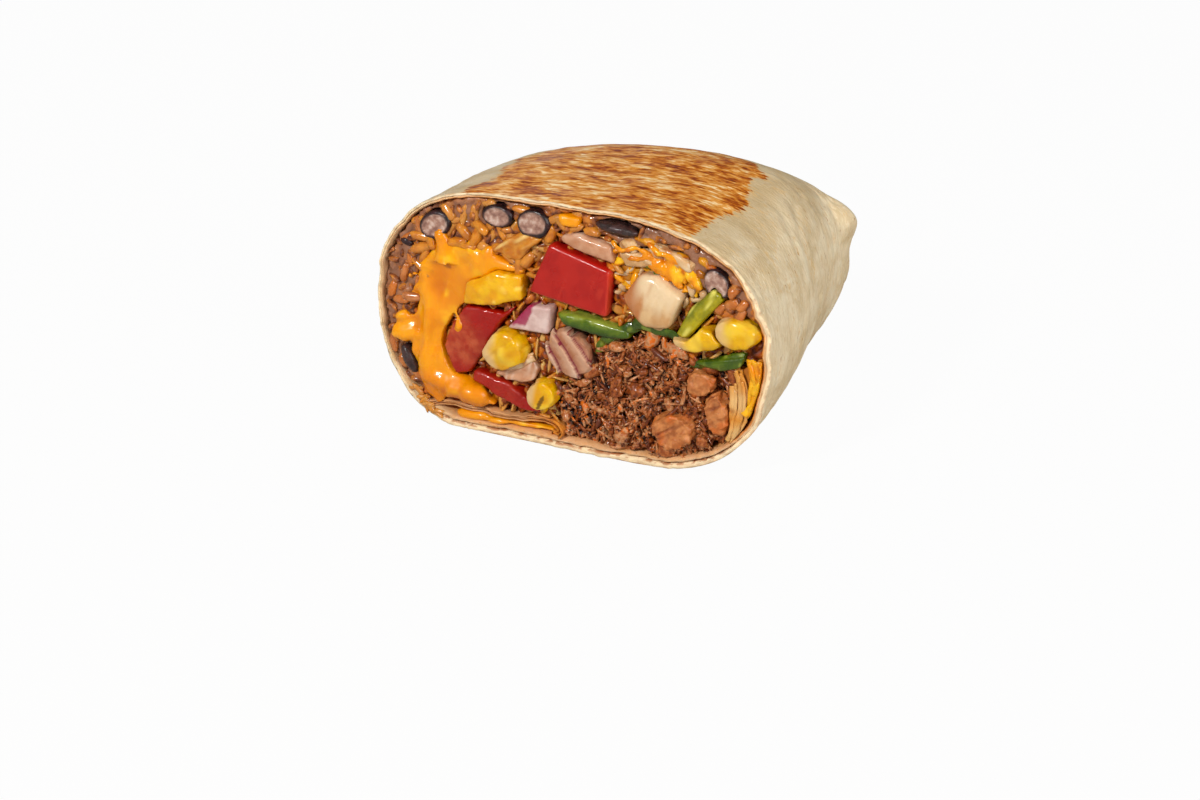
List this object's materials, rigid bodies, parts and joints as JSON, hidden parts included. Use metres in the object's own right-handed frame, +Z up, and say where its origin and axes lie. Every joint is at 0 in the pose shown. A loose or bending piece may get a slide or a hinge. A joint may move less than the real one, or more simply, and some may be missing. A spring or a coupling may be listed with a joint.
{
  "type": "burrito half",
  "caption": "Half of a filled burrito, cut across: layered fillings show at the cut, the far end is tucked shut, and it lies on its flat underside.",
  "frame": {"origin": "on the ground under the middle of the half's box", "axes": "+Z up, +X to the right along the cut's width, -Y out of the cut face, +Y towards the tucked end"},
  "size_m": [0.098, 0.07, 0.0596],
  "materials": {
    "tortilla": "soft wheat tortilla, pale cream, matt, toasted golden brown in streaks on top",
    "seasoned_rice": "moist seasoned rice with mashed beans, orange brown, soft uneven gloss",
    "melted_cheese": "melted cheddar, smooth and softly glossy",
    "ground_meat": "cooked ground meat, crumbly, brown, slightly moist",
    "vegetable_mix": "moist chopped vegetables and sauce",
    "tomato": "wet cut tomato, red",
    "onion": "translucent cooked onion, pale",
    "red_onion": "red onion, white flesh with purple edges",
    "yellow_pepper": "yellow pepper coated in cheese, glossy",
    "green_pepper": "green pepper, glossy skin",
    "pale_green_pepper": "pale green pepper, glossy",
    "sweetcorn": "sweetcorn kernel, plump and shiny",
    "black_bean": "black bean with dark skin and grey violet flesh where it is cut"
  },
  "bodies": {
    "root": {"tortilla": "tortilla", "rice_and_beans": "seasoned_rice", "cheese_sauce": "melted_cheese", "ground_meat": "ground_meat", "vegetable_mix": "vegetable_mix", "cheese_and_onion_strip": "melted_cheese", "cheese_under_flap": "melted_cheese", "tomato_large": "tomato", "tomato_left": "tomato", "tomato_lower": "tomato", "onion_top": "onion", "onion_large": "onion", "onion_cooked": "onion", "onion_shred_left": "onion", "onion_shred_right": "onion", "onion_purple": "red_onion", "onion_strip": "red_onion", "onion_layered": "red_onion", "yellow_pepper": "yellow_pepper", "jalapeno_strip": "green_pepper", "leaf_wedge": "green_pepper", "pepper_strip_diagonal": "pale_green_pepper", "cheese_bit": "melted_cheese", "corn_left": "sweetcorn", "corn_middle": "sweetcorn", "corn_right": "sweetcorn", "corn_tilted": "sweetcorn", "bean_corner": "black_bean", "bean_top_left": "black_bean", "bean_top_right": "black_bean", "bean_right": "black_bean", "bean_left_low": "black_bean", "bean_flat": "black_bean", "meat_chunk_wide": "ground_meat", "meat_chunk_tall": "ground_meat", "meat_chunk_upper": "ground_meat"}
  },
  "joints": []
}
